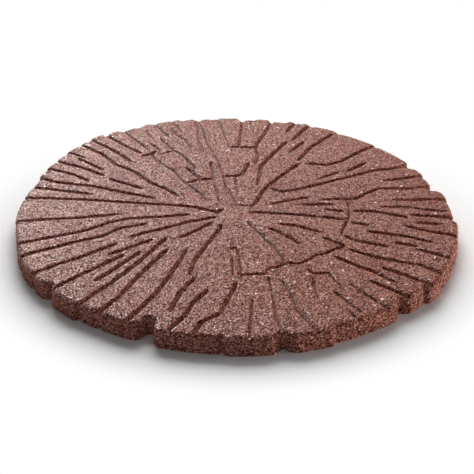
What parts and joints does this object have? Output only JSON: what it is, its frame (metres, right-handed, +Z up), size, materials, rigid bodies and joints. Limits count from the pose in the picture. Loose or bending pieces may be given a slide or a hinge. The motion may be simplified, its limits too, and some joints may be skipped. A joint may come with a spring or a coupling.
{
  "type": "garden stepping stone",
  "caption": "Round garden stepping stone moulded from bonded rubber crumb, its top shaped like a cracked log slice with radial cracks and a lobed rim, flat underneath.",
  "frame": {"origin": "middle of the slab's flat underside, on the ground", "axes": "+Z up through the thickness, +Y toward the back rim, +X toward the right-hand rim as seen from the front; the front is the side whose rim has the deep split, left of its middle"},
  "size_m": [0.4498, 0.4579, 0.019],
  "materials": {
    "rubber_crumb": "matt, granular, red-brown bonded rubber crumb with darker pits and a few pale specks"
  },
  "bodies": {
    "root": {"stepping_stone": "rubber_crumb"}
  },
  "joints": []
}
